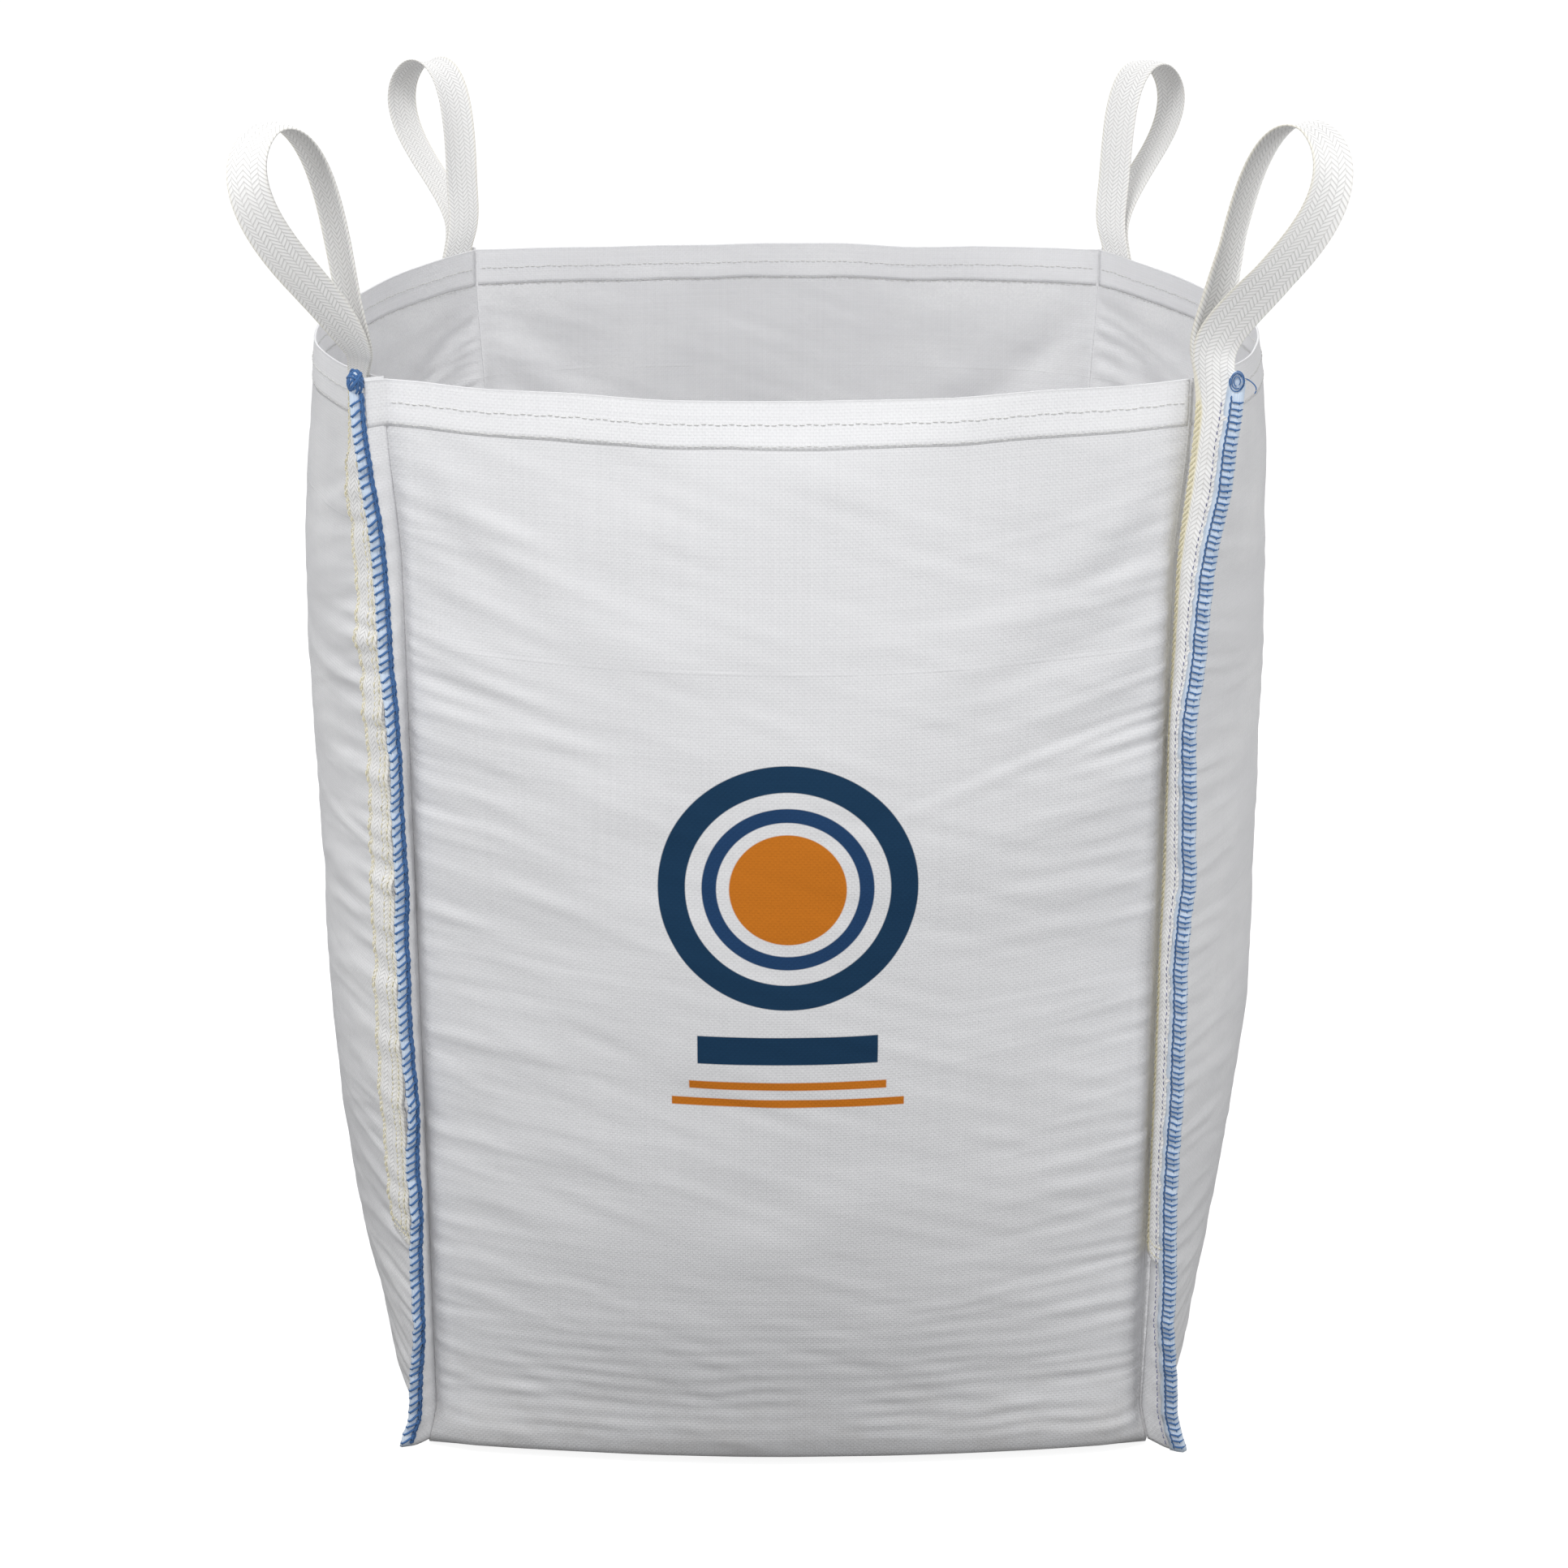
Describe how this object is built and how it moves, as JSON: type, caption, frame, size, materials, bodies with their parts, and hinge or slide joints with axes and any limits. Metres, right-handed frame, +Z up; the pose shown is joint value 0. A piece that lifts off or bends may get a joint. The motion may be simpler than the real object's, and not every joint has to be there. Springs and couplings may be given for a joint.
{
  "type": "bulk bag",
  "caption": "Square woven bulk bag, open top, filled out to bulging sides, with blue corner seams and webbing lifting loops at its corners.",
  "frame": {"origin": "on the floor under the middle of the bag's bounding box", "axes": "+Z up, +X to the right seen from the front, the printed front panel faces -Y"},
  "size_m": [1.1754, 1.1545, 1.584],
  "materials": {
    "woven_cloth": "semi-matt woven polypropylene tape",
    "hem_cloth": "doubled woven polypropylene tape",
    "seam_cloth": "doubled woven polypropylene tape",
    "blue_thread": "matt overedge sewing thread",
    "webbing": "matt herringbone webbing"
  },
  "bodies": {
    "bag": {"base_panel": "woven_cloth", "front_panel": "woven_cloth", "rear_panel": "woven_cloth", "left_side_panel": "woven_cloth", "right_side_panel": "woven_cloth", "front_hem": "hem_cloth", "rear_hem": "hem_cloth", "left_side_hem": "hem_cloth", "right_side_hem": "hem_cloth", "front_left_seam_fin": "seam_cloth", "front_left_seam_thread": "blue_thread", "front_left_inner_leg": "webbing", "front_left_outer_leg": "webbing", "front_right_seam_fin": "seam_cloth", "front_right_seam_thread": "blue_thread", "front_right_inner_leg": "webbing", "front_right_outer_leg": "webbing", "rear_right_seam_fin": "seam_cloth", "rear_right_seam_thread": "blue_thread", "rear_right_inner_leg": "webbing", "rear_right_outer_leg": "webbing", "rear_left_seam_fin": "seam_cloth", "rear_left_seam_thread": "blue_thread", "rear_left_inner_leg": "webbing", "rear_left_outer_leg": "webbing", "left_base_seam_fin": "seam_cloth", "left_base_seam_thread": "blue_thread", "right_base_seam_fin": "seam_cloth", "right_base_seam_thread": "blue_thread"},
    "front_left_loop": {"front_left_loop": "webbing"},
    "front_right_loop": {"front_right_loop": "webbing"},
    "rear_right_loop": {"rear_right_loop": "webbing"},
    "rear_left_loop": {"rear_left_loop": "webbing"}
  },
  "joints": [
    {"name": "front_left_loop_bend", "type": "hinge", "parent": "bag", "child": "front_left_loop", "pos_m": [-0.44049, -0.45848, 1.325], "axis": [0.7071, -0.7071, 0], "range_deg": [-110, 62]},
    {"name": "front_right_loop_bend", "type": "hinge", "parent": "bag", "child": "front_right_loop", "pos_m": [0.44049, -0.45848, 1.325], "axis": [0.7071, 0.7071, 0], "range_deg": [-110, 62]},
    {"name": "rear_right_loop_bend", "type": "hinge", "parent": "bag", "child": "rear_right_loop", "pos_m": [0.42849, 0.45848, 1.325], "axis": [-0.7071, 0.7071, 0], "range_deg": [-110, 62]},
    {"name": "rear_left_loop_bend", "type": "hinge", "parent": "bag", "child": "rear_left_loop", "pos_m": [-0.42849, 0.45848, 1.325], "axis": [-0.7071, -0.7071, 0], "range_deg": [-110, 62]}
  ]
}
